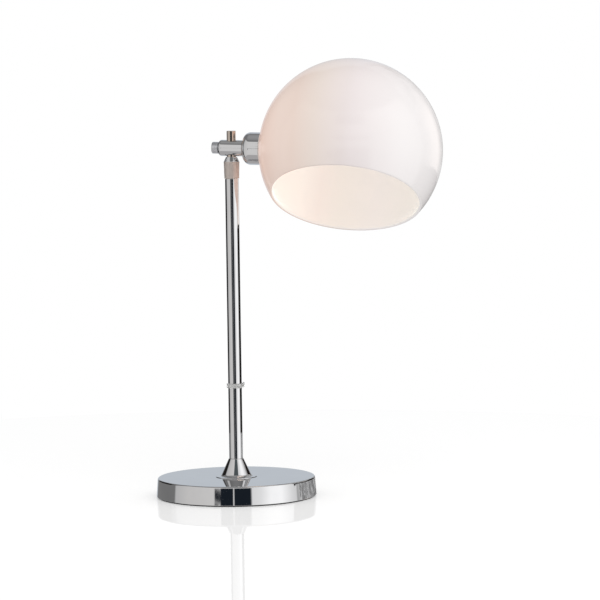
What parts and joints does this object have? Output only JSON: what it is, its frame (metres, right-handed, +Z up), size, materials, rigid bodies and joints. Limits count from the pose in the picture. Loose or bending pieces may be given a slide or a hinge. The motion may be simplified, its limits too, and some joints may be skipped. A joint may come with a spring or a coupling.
{
  "type": "table lamp",
  "caption": "Table lamp with an open opal glass globe that turns on a clamped arm, a telescoping stem and a heavy round base.",
  "frame": {"origin": "centre of the base pad's underside, on the table", "axes": "+Z up along the stem, +X towards the globe under the arm, +Y to the rear"},
  "size_m": [0.2859, 0.1786, 0.4269],
  "materials": {
    "chrome": "polished chrome plate",
    "satin_steel": "satin, fine-turned and knurled",
    "plain_steel": "zinc-plated fastener",
    "cast_iron": "rough cast, painted black",
    "foam_rubber": "matt foam pad",
    "brass": "turned",
    "black_plastic": "moulded",
    "white_plastic": "moulded",
    "clear_plastic": "clear moulded",
    "fibre": "pressed fibre",
    "silicone": "soft translucent",
    "opal_glass": "glossy opal",
    "bulb_glass": "frosted",
    "nickel": "nickel-plated brass"
  },
  "bodies": {
    "base": {"base_cover": "chrome", "base_weight": "cast_iron", "base_pad": "foam_rubber", "base_washer": "plain_steel", "base_nut": "plain_steel", "base_stud": "plain_steel", "foot_cone": "chrome", "stem_tube": "chrome", "tube_insert": "brass", "collet": "brass", "cord_clip": "clear_plastic"},
    "collar": {"clamp_collar": "satin_steel"},
    "rod": {"inner_rod": "chrome", "rod_guide": "white_plastic", "rod_end_screw": "brass"},
    "arm": {"clamp_block": "chrome", "fibre_washer": "fibre", "spring_washer": "plain_steel", "pivot_screw": "plain_steel"},
    "slug": {"clamp_slug": "brass"},
    "thumb": {"thumb_screw": "satin_steel"},
    "shade": {"socket_cup": "chrome", "cord_grommet": "black_plastic", "snap_ring": "plain_steel", "holder_body": "black_plastic", "thread_shell": "brass", "centre_contact": "brass", "terminal_screws": "brass", "glass_globe": "opal_glass", "outer_gasket": "silicone", "inner_gasket": "silicone", "shade_ring": "black_plastic", "bulb_cap": "nickel", "bulb_button": "brass", "bulb_glass": "bulb_glass"}
  },
  "joints": [
    {"name": "collar_turn", "type": "hinge", "parent": "base", "child": "collar", "pos_m": [0, 0, 0.3226], "axis": [0, 0, 1], "range_deg": [0, 180]},
    {"name": "rod_slide", "type": "slide", "parent": "base", "child": "rod", "axis": [0, 0, 1], "range_m": [0, 0.19]},
    {"name": "arm_swivel", "type": "hinge", "parent": "rod", "child": "arm", "pos_m": [0, 0, 0.34175], "axis": [0, 0, 1], "range_deg": [-170, 170]},
    {"name": "slug_travel", "type": "slide", "parent": "arm", "child": "slug", "axis": [-0.9994, 0, 0.0349], "range_m": [0, 0.0012]},
    {"name": "thumb_turn", "type": "hinge", "parent": "slug", "child": "thumb", "pos_m": [-0.01299, 0, 0.3422], "axis": [-0.9994, 0, 0.0349], "range_deg": [0, 540]},
    {"name": "shade_tilt", "type": "hinge", "parent": "arm", "child": "shade", "pos_m": [0.01219, 0, 0.34132], "axis": [0.9994, 0, -0.0349], "range_deg": [-150, 150]}
  ],
  "couplings": [
    {"joint": "slug_travel", "follows": "thumb_turn", "m_per_rad": 0.00012732}
  ]
}
